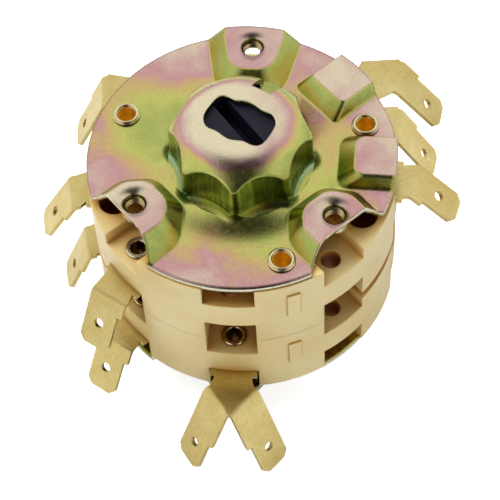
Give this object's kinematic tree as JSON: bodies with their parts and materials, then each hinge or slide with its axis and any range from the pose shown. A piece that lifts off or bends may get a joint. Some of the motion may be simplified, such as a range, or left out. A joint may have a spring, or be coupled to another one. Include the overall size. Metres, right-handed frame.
{
  "type": "rotary ignition switch",
  "caption": "Rotary ignition and lighting switch: stacked round contact decks with blade terminals under a pressed steel cover with a fluted boss and key opening.",
  "frame": {"origin": "where the rotor's axis meets the plane of the three mounting pads", "axes": "+Z along the rotor axis towards the key, +Y towards the mounting pad that stands alone"},
  "size_m": [0.0787, 0.0703, 0.0554],
  "materials": {
    "chromate_steel": "pressed sheet steel with an iridescent yellow zinc chromate",
    "cream_moulding": "aged cream thermoset moulding",
    "black_moulding": "black moulding",
    "terminal_brass": "dull stamped brass strip",
    "rivet_brass": "polished hollow rivet",
    "spring_steel": "plain hardened steel"
  },
  "bodies": {
    "housing": {"cover_plate": "chromate_steel", "upper_deck": "cream_moulding", "lower_deck": "cream_moulding", "bottom_plate": "chromate_steel", "through_rivets": "rivet_brass", "terminal_rivets": "rivet_brass", "terminal_000_a": "terminal_brass", "terminal_045_a": "terminal_brass", "terminal_045_b": "terminal_brass", "terminal_135_b": "terminal_brass", "terminal_180_b": "terminal_brass", "terminal_180_c": "terminal_brass", "terminal_225_b": "terminal_brass", "terminal_225_c": "terminal_brass", "terminal_270_c": "terminal_brass"},
    "rotor": {"rotor": "black_moulding", "contact_disc_top": "black_moulding", "contact_disc_middle": "black_moulding", "contact_disc_bottom": "black_moulding", "contact_bridge_a": "terminal_brass", "contact_bridge_b": "terminal_brass", "contact_bridge_c": "terminal_brass", "contact_bridge_d": "terminal_brass", "detent_balls": "spring_steel", "detent_spring": "spring_steel"}
  },
  "joints": [
    {"name": "key_turn", "type": "hinge", "parent": "housing", "child": "rotor", "pos_m": [0, 0, 0], "axis": [0, 0, 1], "range_deg": [-135, 45]}
  ]
}
